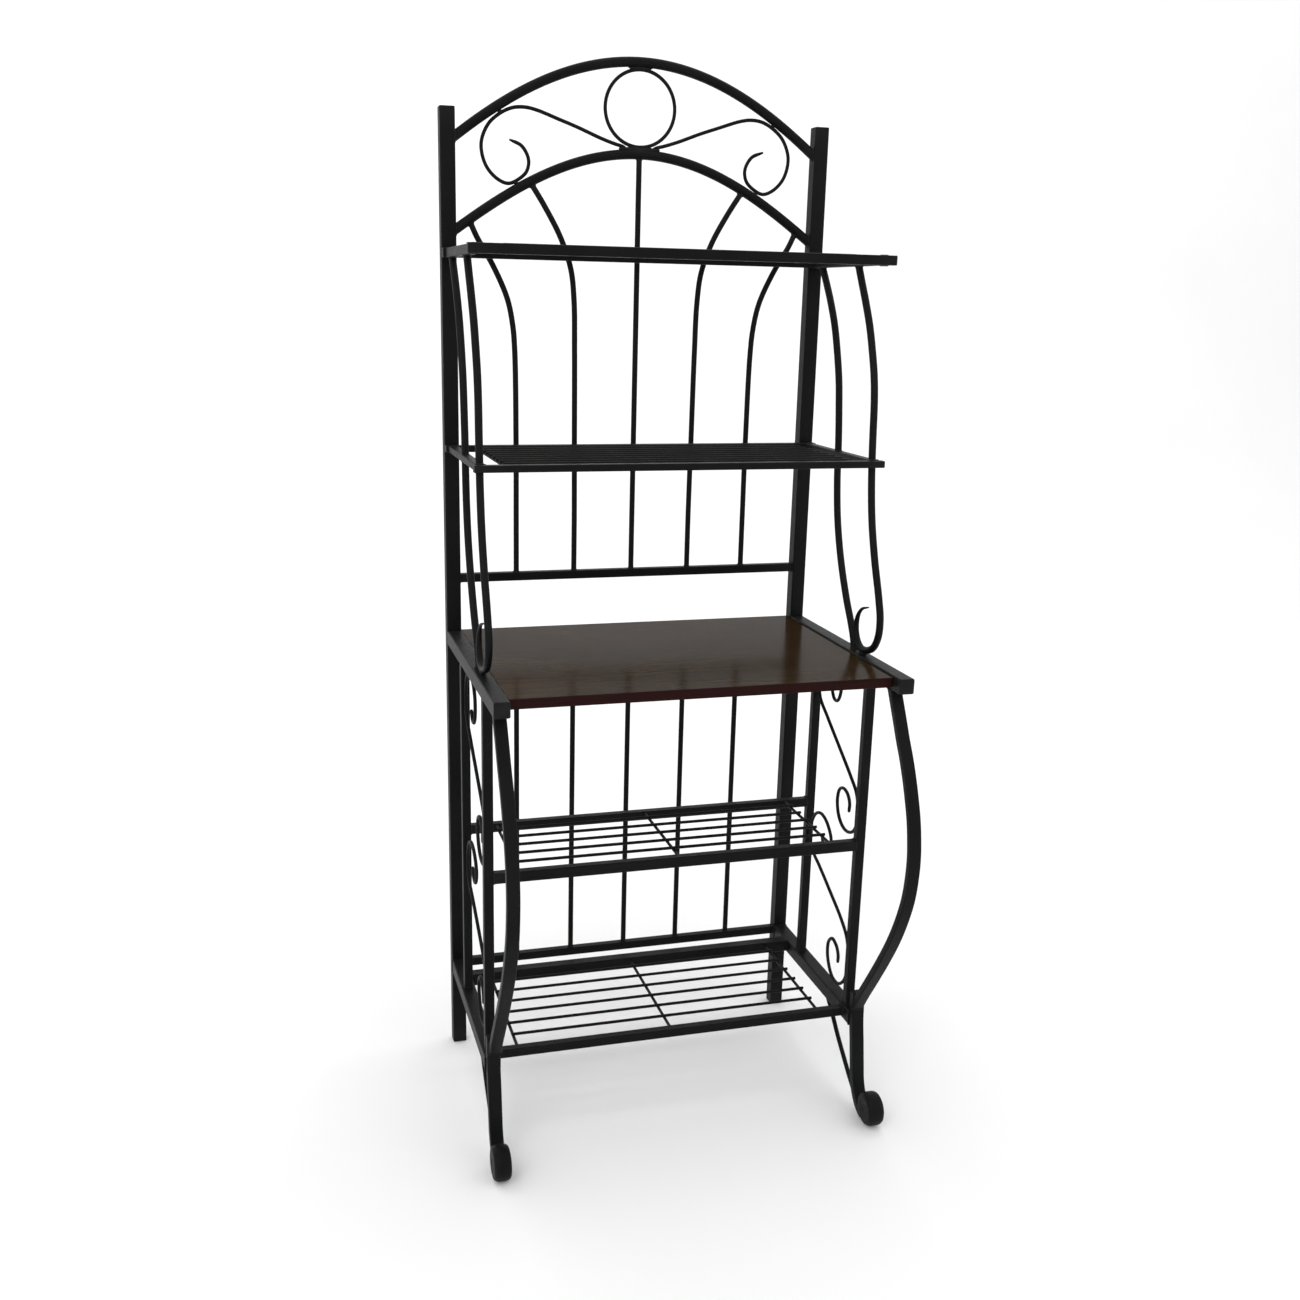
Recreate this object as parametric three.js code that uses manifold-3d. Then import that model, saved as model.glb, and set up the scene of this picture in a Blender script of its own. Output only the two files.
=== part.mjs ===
// Bakers rack: welded steel frame with an arched back, scrolled sides, a wooden
// counter board and four open shelves. Millimetres, +Z up, front towards -Y.
import * as THREE from 'three';
import Module from 'manifold-3d';

const wasm = await Module();
wasm.setup();

// ---- driving dimensions ---------------------------------------------------
const HALF = 322;            // half of the post centre-to-centre width
const POST = 25;             // square post and counter rail
const WALL = 1.5;            // wall of the 25 mm tube
const THIN = 1.2;            // wall of the 15 to 20 mm tubes
const POST_TOP = 1661;       // top of the post cap
const GLIDE = 6;             // visible height of the post glide
const CAP = 3;               // visible height of the post cap
const FIT = 0.3;             // gap left where two pieces meet
const RAIL = 15;             // back rails and rear side uprights
const BAR = 16;              // shelf bars and front side uprights
const ARCH_D = 16;           // arch tube
const RING_R = 62.8;         // outer radius of the ring between the arches
const RING_D = 6;
const ROD_D = 9.5;           // back rods
const SCROLL_D = 6;          // scroll rod
const SIDE_ROD_D = 12;       // bowed rods beside the upper shelves
const BOW_W = 20;            // bow leg, across
const BOW = 13;              // bow leg, front to back
const LEG = 15;              // lower leg, front to back
const LEG_W = 22;            // lower leg, across
const ROLL_R = 29;           // rolled foot radius
const ROLL_X = 324;          // its middle
const BOW_X = 320;           // plane of the bow leg
const WIRE_D = 5.3;          // long shelf wires
const CROSS_D = 5.3;         // cross wires under the long ones

const Z_UPPER_RAIL = 896;
const Z_LOWER_RAIL = 160.6;
const Z_TOP_SHELF = 1437;
const Z_MID_SHELF = 1121.4;
const Z_COUNTER = 792;       // centre of the counter side rails
const BOARD_T = 16;
const BOARD_TOP = 802;
const Z_WIRE_SHELF = 475;
const Z_BOTTOM = 161;        // centre of the bottom side rails
const Y_REAR_UP = -121.3;    // rear side upright
const Y_FRONT_UP = -339;     // front side upright
const Y_RAIL_END = -471;     // front end of the counter side rails
const Y_BOARD_FRONT = -449;
const Y_BOTTOM_REAR = -71;   // rear bar of the bottom shelf

const upperArchZ = x => 1745.4 - 14.3076 * (x / 100) ** 2 + 0.0917 * (x / 100) ** 4;
const lowerArchZ = x => 1603.2 - 15.2944 * (x / 100) ** 2 + 0.1904 * (x / 100) ** 4;

// ---- helpers ----------------------------------------------------------------
const V3 = (x, y, z) => new THREE.Vector3(x, y, z);

function box(x0, x1, y0, y1, z0, z1) {
  const g = new THREE.BoxGeometry(x1 - x0, y1 - y0, z1 - z0);
  g.translate((x0 + x1) / 2, (y0 + y1) / 2, (z0 + z1) / 2);
  return g;
}

function circle(d, n) {
  const s = new THREE.Shape();
  const r = d / 2 / Math.sqrt(Math.cos(Math.PI / n));
  for (let i = 0; i < n; i++) {
    const a = (2 * Math.PI * (i + 0.5)) / n;
    if (i === 0) s.moveTo(r * Math.cos(a), r * Math.sin(a));
    else s.lineTo(r * Math.cos(a), r * Math.sin(a));
  }
  s.closePath();
  return s;
}

function square(w, h) {
  const s = new THREE.Shape();
  s.moveTo(-w / 2, -h / 2);
  s.lineTo(w / 2, -h / 2);
  s.lineTo(w / 2, h / 2);
  s.lineTo(-w / 2, h / 2);
  s.closePath();
  return s;
}

// Adds the bore of a thin-walled tube to a round or square outline.
function hollow(shape, points) {
  const p = new THREE.Path();
  points.forEach(([u, v], i) => (i === 0 ? p.moveTo(u, v) : p.lineTo(u, v)));
  p.closePath();
  shape.holes.push(p);
  return shape;
}
const pipe = (d, n) => hollow(circle(d, n), circle(d - 2 * THIN, n).getPoints().slice(0, n).map(p => [p.x, p.y]));
function boxPipe(w, t) {
  const i = w / 2 - THIN;
  const k = t / 2 - THIN;
  return hollow(square(w, t), [[-i, -k], [i, -k], [i, k], [-i, k]]);
}

// Sweep of a closed outline along a smooth curve through the points.
function sweep(shape, pts, steps) {
  const path = new THREE.CatmullRomCurve3(pts, false, 'centripetal');
  return new THREE.ExtrudeGeometry(shape, { steps, extrudePath: path, bevelEnabled: false });
}

// Thins a swept rod: f gives the share of its thickness along the curve, 0 to 1.
function thin(g, pts, steps, f) {
  const centres = new THREE.CatmullRomCurve3(pts, false, 'centripetal').getSpacedPoints(steps);
  const p = g.attributes.position;
  for (let i = 0; i < p.count; i++) {
    const v = V3(0, 0, 0).fromBufferAttribute(p, i);
    const k = centres.reduce((best, c, j) => (c.distanceTo(v) < centres[best].distanceTo(v) ? j : best), 0);
    v.sub(centres[k]).multiplyScalar(f(k / steps)).add(centres[k]);
    p.setXYZ(i, v.x, v.y, v.z);
  }
  return g;
}

// Round bar between two points.
function bar(a, b, d, n) {
  const g = new THREE.CylinderGeometry(d / 2, d / 2, a.distanceTo(b), n);
  const q = new THREE.Quaternion().setFromUnitVectors(V3(0, 1, 0), b.clone().sub(a).normalize());
  g.applyQuaternion(q);
  const m = a.clone().add(b).multiplyScalar(0.5);
  g.translate(m.x, m.y, m.z);
  return g;
}

function weld(geometry) {
  const g = geometry.index ? geometry.toNonIndexed() : geometry.clone();
  const src = g.attributes.position;
  const map = new Map();
  const pos = [];
  const tri = [];
  const ids = [];
  for (let i = 0; i < src.count; i++) {
    const k = [src.getX(i), src.getY(i), src.getZ(i)].map(v => Math.round(v * 1e4)).join(',');
    let id = map.get(k);
    if (id === undefined) {
      id = pos.length / 3;
      pos.push(src.getX(i), src.getY(i), src.getZ(i));
      map.set(k, id);
    }
    ids.push(id);
  }
  for (let i = 0; i < ids.length; i += 3) {
    const [a, b, c] = [ids[i], ids[i + 1], ids[i + 2]];
    if (a !== b && b !== c && c !== a) tri.push(a, b, c);
  }
  let vol = 0;
  const P = i => V3(pos[3 * i], pos[3 * i + 1], pos[3 * i + 2]);
  for (let i = 0; i < tri.length; i += 3) vol += P(tri[i]).dot(P(tri[i + 1]).clone().cross(P(tri[i + 2])));
  if (vol < 0) for (let i = 0; i < tri.length; i += 3) [tri[i + 1], tri[i + 2]] = [tri[i + 2], tri[i + 1]];
  return { pos, tri };
}

function solid(geometry) {
  const { pos, tri } = weld(geometry);
  return new wasm.Manifold(new wasm.Mesh({
    numProp: 3,
    vertProperties: new Float32Array(pos),
    triVerts: new Uint32Array(tri),
  }));
}

function toGeometry(m) {
  const mesh = m.getMesh();
  const g = new THREE.BufferGeometry();
  g.setAttribute('position', new THREE.BufferAttribute(new Float32Array(mesh.vertProperties), 3));
  g.setIndex(new THREE.BufferAttribute(new Uint32Array(mesh.triVerts), 1));
  return g;
}

// Straight square tube, open at both ends along the axis ('x', 'y' or 'z').
function tubeBar(axis, x0, x1, y0, y1, z0, z1) {
  const e = { x: [-5, THIN, THIN], y: [THIN, -5, THIN], z: [THIN, THIN, -5] }[axis];
  return cut(box(x0, x1, y0, y1, z0, z1), box(x0 + e[0], x1 - e[0], y0 + e[1], y1 - e[1], z0 + e[2], z1 - e[2]));
}

const join = gs => toGeometry(gs.map(solid).reduce((a, b) => a.add(b)));
const cut = (g, ...tools) => toGeometry(tools.map(solid).reduce((a, b) => a.subtract(b), solid(g)));

function mirrorX(geometry) {
  const g = geometry.clone();
  g.deleteAttribute('normal');
  g.deleteAttribute('uv');
  const { pos, tri } = weld(g);
  for (let i = 0; i < pos.length; i += 3) pos[i] = -pos[i];
  for (let i = 0; i < tri.length; i += 3) [tri[i + 1], tri[i + 2]] = [tri[i + 2], tri[i + 1]];
  const out = new THREE.BufferGeometry();
  out.setAttribute('position', new THREE.BufferAttribute(new Float32Array(pos), 3));
  out.setIndex(tri);
  return out;
}

const BLACK = { color: 0x1c1b1c, roughness: 0.45, metalness: 0.6 };
const WOOD = { color: 0x2e1a14, roughness: 0.35, metalness: 0.0 };
const PLASTIC = { color: 0x141414, roughness: 0.6, metalness: 0.0 };
const STEEL = { color: 0x232324, roughness: 0.35, metalness: 0.8 };

const group = new THREE.Group();
group.name = 'bakers_rack';

function add(name, geometry, m) {
  const { pos, tri } = weld(geometry);
  const g = new THREE.BufferGeometry();
  g.setAttribute('position', new THREE.BufferAttribute(new Float32Array(pos), 3));
  g.setIndex(tri);
  const mesh = new THREE.Mesh(g, new THREE.MeshStandardMaterial(m));
  mesh.name = name;
  group.add(mesh);
}

// The right piece is modelled and the left one is its mirror image.
function addPair(name, geometry, m) {
  add(name + '_right', geometry, m);
  add(name + '_left', mirrorX(geometry), m);
}

const yz = (x, list) => list.map(([y, z]) => V3(x, y, z));
const xz = list => list.map(([x, z]) => V3(x, 0, z));

// ---- back posts --------------------------------------------------------------
const h = POST / 2;
const inner = POST - 2 * WALL;
const boltZ = [Z_TOP_SHELF, Z_MID_SHELF, Z_COUNTER];
const HOLE_D = 6.6;
const tube = new THREE.Shape();
tube.moveTo(-h, -h); tube.lineTo(h, -h); tube.lineTo(h, h); tube.lineTo(-h, h); tube.closePath();
const bore = new THREE.Path();
bore.moveTo(-inner / 2, -inner / 2); bore.lineTo(-inner / 2, inner / 2);
bore.lineTo(inner / 2, inner / 2); bore.lineTo(inner / 2, -inner / 2); bore.closePath();
tube.holes.push(bore);
const POST_Z0 = GLIDE + FIT;
const POST_Z1 = POST_TOP - CAP - FIT;
const post = new THREE.ExtrudeGeometry(tube, { depth: POST_Z1 - POST_Z0, bevelEnabled: false });
post.translate(HALF, 0, POST_Z0);
addPair('back_post', cut(post, ...boltZ.map(z => bar(V3(HALF, -h - 2, z), V3(HALF, h + 2, z), HOLE_D, 12))), BLACK);

// Cap and glide are plugs: a flange on the tube end and a shank inside it.
const plug = inner / 2 - FIT;
addPair('post_cap', join([
  box(HALF - h, HALF + h, -h, h, POST_TOP - CAP, POST_TOP),
  box(HALF - plug, HALF + plug, -plug, plug, POST_TOP - 22, POST_TOP - CAP + 0.5),
]), PLASTIC);
addPair('post_glide', join([
  box(HALF - h, HALF + h, -h, h, 0, GLIDE),
  box(HALF - plug, HALF + plug, -plug, plug, GLIDE - 0.5, 26),
]), PLASTIC);

// ---- arches, ring and arch scrolls -------------------------------------------
const XI = HALF - h - FIT;                 // inner face of the post
function archPoints(f) {
  const p = [];
  for (let i = 0; i <= 16; i++) {
    const x = -330 + (660 * i) / 16;
    p.push(V3(x, 0, f(x)));
  }
  return p;
}
const postKeepOut = [
  box(XI, 400, -40, 40, 1300, 1800),
  box(-400, -XI, -40, 40, 1300, 1800),
];
const upperArch = sweep(pipe(ARCH_D, 10), archPoints(upperArchZ), 20);
const lowerArch = sweep(pipe(ARCH_D, 10), archPoints(lowerArchZ), 20);
add('upper_arch', cut(upperArch, ...postKeepOut), BLACK);
add('lower_arch', cut(lowerArch, ...postKeepOut), BLACK);

const ringZ = (upperArchZ(0) - ARCH_D / 2 + lowerArchZ(0) + ARCH_D / 2) / 2;
const ringProfile = [];
for (let i = 0; i <= 6; i++) {
  const a = (2 * Math.PI * i) / 6;
  ringProfile.push(new THREE.Vector2(RING_R - RING_D / 2 + (RING_D / 2) * Math.cos(a), (RING_D / 2) * Math.sin(a)));
}
const ring = new THREE.LatheGeometry(ringProfile, 30);
ring.applyMatrix4(new THREE.Matrix4().makeTranslation(0, 0, ringZ));
add('arch_ring', ring, BLACK);

const archScroll = sweep(circle(SCROLL_D, 6), xz([
  [28, 1614.3], [45, 1618.6], [68, 1626], [105, 1640], [136, 1650.5], [176, 1663.5], [195, 1666.5],
  [215, 1664.5], [236, 1654.5], [255, 1637], [266, 1608], [259, 1576], [241, 1556], [222, 1548.8],
  [204, 1556.4], [191, 1569], [188, 1587], [199, 1607], [219, 1616],
]), 30);
addPair('arch_scroll', archScroll, BLACK);

// ---- back rails and rods --------------------------------------------------------
add('upper_back_rail', tubeBar('x', -XI, XI, -RAIL / 2, RAIL / 2, Z_UPPER_RAIL - RAIL / 2, Z_UPPER_RAIL + RAIL / 2), BLACK);
const REAR_RAIL_TOP = BOARD_TOP - BOARD_T - FIT;
add('counter_rear_rail', tubeBar('x', -XI, XI, -RAIL / 2, RAIL / 2, REAR_RAIL_TOP - RAIL, REAR_RAIL_TOP), BLACK);
add('lower_back_rail', tubeBar('x', -XI, XI, -RAIL / 2, RAIL / 2, Z_LOWER_RAIL - RAIL / 2, Z_LOWER_RAIL + RAIL / 2), BLACK);

const zr0 = Z_UPPER_RAIL + RAIL / 2 + FIT;
const archTool = sweep(circle(ARCH_D + 2 * FIT, 10), archPoints(lowerArchZ), 20);
const rodOuter = cut(sweep(circle(ROD_D, 8), xz([
  [209.5, zr0], [209.5, 1000], [209.5, 1130], [211.5, 1282], [215, 1325], [224, 1367], [246.5, 1417],
  [275.5, 1466], [286.5, lowerArchZ(286.5)],
]), 16), archTool);
const rodMiddle = cut(sweep(circle(ROD_D, 8), xz([
  [105.5, zr0], [105.5, 1000], [106.5, 1130], [107.7, 1282], [109.5, 1367], [115.5, 1417], [133, 1466],
  [160.5, 1515], [185.5, lowerArchZ(185.5)],
]), 16), archTool);
const rodCentre = cut(bar(V3(0, 0, zr0), V3(0, 0, lowerArchZ(0)), ROD_D, 8), archTool);
add('upper_back_rod_1', mirrorX(rodOuter), BLACK);
add('upper_back_rod_2', mirrorX(rodMiddle), BLACK);
add('upper_back_rod_3', rodCentre, BLACK);
add('upper_back_rod_4', rodMiddle, BLACK);
add('upper_back_rod_5', rodOuter, BLACK);
[-209.5, -105, 0, 105, 209.5].forEach((x, i) => {
  add('lower_back_rod_' + (i + 1), bar(V3(x, 0, Z_LOWER_RAIL + RAIL / 2 + FIT), V3(x, 0, REAR_RAIL_TOP - RAIL - FIT), ROD_D, 8), BLACK);
});

// ---- side frames ------------------------------------------------------------------
const RB = Z_COUNTER - h;                  // underside of the counter rail
const RT = Z_COUNTER + h;                  // its top
const yBack = -h - FIT;                    // front face of the post
// 25 mm tube closed at the rear by a drilled end plate, open at the front.
addPair('counter_side_rail', cut(
  box(HALF - h, HALF + h, Y_RAIL_END + CAP + FIT, yBack, RB, RT),
  box(HALF - inner / 2, HALF + inner / 2, Y_RAIL_END - 5, yBack - 4, RB + WALL, RT - WALL),
  bar(V3(HALF, yBack - 8, Z_COUNTER), V3(HALF, yBack + 3, Z_COUNTER), HOLE_D, 12),
), BLACK);
addPair('counter_rail_cap', join([
  box(HALF - h, HALF + h, Y_RAIL_END, Y_RAIL_END + CAP, RB, RT),
  box(HALF - plug, HALF + plug, Y_RAIL_END + CAP - 0.5, Y_RAIL_END + 20, Z_COUNTER - plug, Z_COUNTER + plug),
]), PLASTIC);

const SR_TOP = 172.5;                      // bottom side rail, same tube as the posts
const SR_BOT = SR_TOP - POST;
addPair('side_rear_upright', tubeBar('z', HALF - RAIL / 2, HALF + RAIL / 2, Y_REAR_UP - RAIL / 2, Y_REAR_UP + RAIL / 2, SR_TOP + FIT, RB - FIT), BLACK);
addPair('side_front_upright', tubeBar('z', HALF - BAR / 2, HALF + BAR / 2, Y_FRONT_UP - BAR / 2, Y_FRONT_UP + BAR / 2, SR_TOP + FIT, RB - FIT), BLACK);

// Lower leg with its rolled foot, then the bow that lands on the leg.
// The outline's first axis follows the curve's normal, which lies across the object.
const legShape = g => square(LEG_W + 2 * g, LEG + 2 * g);
const legPts = [[-374.1, 213], [-376.5, 160], [-383, 122], [-389, 86], [-396, 50], [-405.5, 31], [-419, 17], [-437, 10]];
const roll = new THREE.LatheGeometry([
  [0, -14.4], [20, -14.4], [25.5, -13], [28.2, -10], [ROLL_R, -5],
  [ROLL_R, 5], [28.2, 10], [25.5, 13], [20, 14.4], [0, 14.4],
].map(([r, a]) => new THREE.Vector2(r, a)), 22);
roll.rotateZ(Math.PI / 2);
roll.translate(ROLL_X, -451, ROLL_R);
const leg = join([sweep(legShape(0), yz(HALF, legPts), 18), roll]);
addPair('front_foot', leg, BLACK);
const legTool = sweep(legShape(FIT), yz(HALF, [[-374, 214], ...legPts.slice(1)]), 18);
const railTool = sweep(square(LEG_W + 20, LEG + 2 * FIT), yz(HALF, [[-374, 214], ...legPts.slice(1)]), 18);
addPair('bottom_side_rail', cut(tubeBar('y', HALF - h, HALF + h, -372, yBack, SR_BOT, SR_TOP), railTool,
  box(HALF - 20, HALF + 20, -420, -374, 100, 240)), BLACK);

const bow = sweep(boxPipe(BOW_W, BOW), yz(BOW_X, [
  [-426, 790], [-441, 763.3], [-457.2, 735.1], [-473, 706.8], [-490.1, 679.2], [-504.9, 651],
  [-517.6, 622.2], [-528.6, 592.9], [-535.9, 562.1], [-540, 530], [-538.6, 495.3], [-532.4, 458.1],
  [-517.9, 416.6], [-496.1, 370.8], [-465.7, 319.7], [-428.7, 263.7], [-398.5, 219.5], [-381, 192],
]), 22);
addPair('bow_leg', cut(bow,
  box(HALF - 20, HALF + 20, -500, -300, RB - FIT, RT + 30),
  box(HALF - 20, HALF + 20, -383.4, -340, 120, 235)), BLACK);

const brace = cut(sweep(circle(8, 8), yz(HALF, [
  [-236, 156], [-262, 133], [-282.5, 113.6], [-309.5, 87.1], [-335.5, 64.8], [-361, 43.5], [-396, 17],
]), 8), box(HALF - 20, HALF + 20, -300, -200, SR_BOT - FIT, 200), legTool);
addPair('foot_brace', brace, BLACK);

// S scrolls in the side frames.
addPair('side_scroll_upper', sweep(circle(SCROLL_D, 6), yz(HALF, [
  [-190, 711], [-202, 697], [-216, 697], [-227, 713], [-227, 740], [-210, 762], [-180, 771], [-150, 760],
  [-134.5, 733], [-133.1, 706], [-143, 681], [-178, 656], [-230.6, 621], [-290, 581], [-316, 560],
  [-325.6, 536], [-325.6, 508], [-312, 488], [-287, 479], [-264, 484], [-247.5, 500], [-241.5, 524],
  [-248, 543], [-264, 550.5], [-282, 546], [-292, 533], [-291.5, 517],
]), 36), BLACK);
addPair('side_scroll_lower', sweep(circle(SCROLL_D, 6), yz(HALF, [
  [-186, 430], [-194, 417.5], [-208, 411.5], [-221, 419], [-226, 438], [-216.5, 453], [-198, 466], [-175, 470.5],
  [-152, 461], [-135.8, 437], [-132.9, 410], [-146, 388], [-182, 370], [-237, 341], [-290, 311], [-316, 289],
  [-326, 262], [-325.4, 226], [-312.7, 201], [-291, 186.5], [-268, 187], [-252.5, 199], [-241, 221], [-242, 245],
  [-257.5, 259], [-277, 253], [-286, 240], [-286.5, 226],
]), 36), BLACK);

// Bowed rods beside the upper shelves; the front one ends in a hook on the rail.
const TOP_T = 15;                          // height of the top shelf's bars
const MID_T = 11;                          // height of the middle shelf's bars
const Z_ROD_TOP = Z_TOP_SHELF - TOP_T / 2 - FIT;
const trimTop = box(HALF - 30, HALF + 30, -300, 20, Z_ROD_TOP, Z_ROD_TOP + 60);
const trimRail = box(HALF - 30, HALF + 30, -420, -100, RB - 20, RT + FIT);
const rearPts = yz(HALF, [
  [-35, 1442], [-60, 1411], [-87, 1374], [-110, 1335], [-127, 1292], [-141, 1245], [-148, 1200],
  [-154.5, 1143], [-159, 1075], [-171, 1008], [-194.5, 942.6], [-228, 879.5], [-251, 845], [-264.5, 820], [-271, 796],
]);
addPair('side_rod_rear', cut(sweep(circle(SIDE_ROD_D, 8), rearPts, 18), trimTop, trimRail), BLACK);
const hookPts = yz(HALF, [
  [-187, 1441], [-207, 1408], [-227.7, 1375], [-249, 1337], [-265, 1298], [-278, 1258], [-284.5, 1220],
  [-288.5, 1156], [-294, 1092], [-305, 1030], [-325, 968], [-350, 908], [-360, 875], [-357.5, 846],
  [-342, 824], [-316, 813.2], [-294.5, 812.8], [-279, 822.5], [-272, 840], [-275.5, 862], [-289, 877.5], [-314, 886],
]);
const drawnOut = t => 1 - 0.8 * Math.max(0, (t - 0.88) / 0.12) ** 1.2;
addPair('side_rod_front', cut(thin(sweep(circle(SIDE_ROD_D, 8), hookPts, 40), hookPts, 40, drawnOut), trimTop), BLACK);

// ---- shelves ---------------------------------------------------------------------
// Cross wires butt into the bars just below their top; the long wires lie on them.
function grid(zTop, yFront, yRear, wireYs, xs) {
  const zw = zTop + 0.3;
  const zc = zw - 4.5;
  const out = [];
  for (const x of xs) out.push(bar(V3(x, yFront, zc), V3(x, yRear, zc), CROSS_D, 6));
  for (const y of wireYs) out.push(bar(V3(xs[0] - 3.5, y, zw), V3(xs[2] + 3.5, y, zw), WIRE_D, 6));
  return out;
}
const evenly = (y0, y1, n) => Array.from({ length: n }, (_, i) => y0 + ((y1 - y0) * (i + 1)) / (n + 1));
const centred = (y0, y1, n) => Array.from({ length: n }, (_, i) => y0 + ((y1 - y0) * (i + 0.5)) / n);

// Framed upper shelves bolted to the fronts of the posts. The grid lies level with the bars.
function framedShelf(z, t, yFrontFace, xFront, xSide, xGrid) {
  const yr1 = yBack;
  const yr0 = yBack - BAR;
  const z0 = z - t / 2;
  const z1 = z + t / 2;
  const yf1 = yFrontFace + BAR;
  const parts = [
    box(-HALF - h, HALF + h, yr0, yr1, z0, z1),
    box(-xFront, xFront, yFrontFace, yf1, z0, z1),
    box(xSide - BAR / 2, xSide + BAR / 2, yf1 - 1, yr0 + 1, z0, z1),
    box(-xSide - BAR / 2, -xSide + BAR / 2, yf1 - 1, yr0 + 1, z0, z1),
    ...grid(z1 - 1.5, yf1 - 1, yr0 + 1, centred(yr0, yf1, 9), [-xGrid, 0, xGrid]),
  ];
  const i = WALL;
  return cut(join(parts),
    box(-HALF - h + i, HALF + h - i, yr0 + i, yr1 - i, z0 + i, z1 - i),
    box(-xFront + i, xFront - i, yFrontFace + i, yf1 - i, z0 + i, z1 - i),
    box(xSide - BAR / 2 + i, xSide + BAR / 2 - i, yf1 - 3, yr0 + 3, z0 + i + 0.2, z1 - i - 0.2),
    box(-xSide - BAR / 2 + i, -xSide + BAR / 2 - i, yf1 - 3, yr0 + 3, z0 + i + 0.2, z1 - i - 0.2),
    bar(V3(HALF, yr0 + 3, z), V3(HALF, yr1 + 3, z), HOLE_D, 12),
    bar(V3(-HALF, yr0 + 3, z), V3(-HALF, yr1 + 3, z), HOLE_D, 12));
}
add('top_shelf', framedShelf(Z_TOP_SHELF, TOP_T, -302, 338, HALF, 277), BLACK);
// The side rods pass through the middle shelf's side bars.
const rodHoles = [sweep(circle(SIDE_ROD_D + 2 * FIT, 8), rearPts, 18), sweep(circle(SIDE_ROD_D + 2 * FIT, 8), hookPts, 40)];
add('middle_shelf', cut(framedShelf(Z_MID_SHELF, MID_T, -315.5, 334, HALF, 281), ...rodHoles, ...rodHoles.map(mirrorX)), BLACK);

// Shelf between the side uprights.
const xr = HALF - RAIL / 2 - FIT;
const xf = HALF - BAR / 2 - FIT;
add('wire_shelf', join([
  tubeBar('x', -xr, xr, Y_REAR_UP - BAR / 2, Y_REAR_UP + BAR / 2, Z_WIRE_SHELF - BAR / 2, Z_WIRE_SHELF + BAR / 2),
  tubeBar('x', -xf, xf, Y_FRONT_UP - BAR / 2, Y_FRONT_UP + BAR / 2, Z_WIRE_SHELF - BAR / 2 - 1, Z_WIRE_SHELF + BAR / 2 + 1),
  ...grid(Z_WIRE_SHELF + BAR / 2, Y_FRONT_UP + BAR / 2 - 1, Y_REAR_UP - BAR / 2 + 1, evenly(Y_REAR_UP, Y_FRONT_UP, 5), [-270, 0, 270]),
]), BLACK);

// Bottom shelf between the bottom side rails.
const xb = HALF - h - FIT;
const zb = Z_BOTTOM + BAR / 2;
add('bottom_shelf', join([
  tubeBar('x', -xb, xb, Y_BOTTOM_REAR - 11, Y_BOTTOM_REAR + 11, SR_TOP - 22, SR_TOP),
  tubeBar('x', -xb, xb, Y_FRONT_UP - BAR / 2, Y_FRONT_UP + BAR / 2, zb - BAR, zb - 1),
  ...grid(zb, Y_FRONT_UP + BAR / 2 - 1, Y_BOTTOM_REAR - 11 + 1, evenly(Y_BOTTOM_REAR, Y_FRONT_UP, 6), [-274, -7, 264]),
]), BLACK);

// ---- counter ---------------------------------------------------------------------
const boardBottom = BOARD_TOP - BOARD_T;
add('counter_front_rail', tubeBar('x', -XI, XI, Y_FRONT_UP - BAR / 2, Y_FRONT_UP + BAR / 2, boardBottom - FIT - BAR, boardBottom - FIT), BLACK);
const bx = XI - 0.4;
add('countertop_board', box(-bx, bx, Y_BOARD_FRONT, RAIL / 2 - 1, boardBottom, BOARD_TOP), WOOD);

// ---- bolts through the posts -------------------------------------------------------
// Domed head behind the post, shank through it into the shelf bar or rail end.
function bolt(z, depth) {
  const k = 3.2;
  const r = 6;
  const prof = [new THREE.Vector2(0, -depth), new THREE.Vector2(3, -depth), new THREE.Vector2(3, FIT), new THREE.Vector2(r, FIT)];
  for (let i = 1; i <= 3; i++) {
    const a = (Math.PI / 2) * (i / 3);
    prof.push(new THREE.Vector2(i === 3 ? 0 : r * Math.cos(a), FIT + k * Math.sin(a)));
  }
  const g = new THREE.LatheGeometry(prof, 12);
  g.translate(HALF, h, z);
  return g;
}
addPair('top_shelf_bolt', bolt(Z_TOP_SHELF, POST + 12), STEEL);
addPair('middle_shelf_bolt', bolt(Z_MID_SHELF, POST + 12), STEEL);
addPair('counter_bolt', bolt(Z_COUNTER, POST + 7), STEEL);

// ---- plan origin at the centre of the bounding box, floor at zero -------------------
const bb = new THREE.Box3();
for (const m of group.children) {
  m.geometry.computeBoundingBox();
  bb.union(m.geometry.boundingBox);
}
const shiftY = -(bb.min.y + bb.max.y) / 2;
for (const m of group.children) {
  m.geometry.translate(0, shiftY, -bb.min.z);
  m.geometry.computeVertexNormals();
}

export default group;
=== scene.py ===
import math

import bpy
import numpy as np
from mathutils import Matrix, Vector


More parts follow.
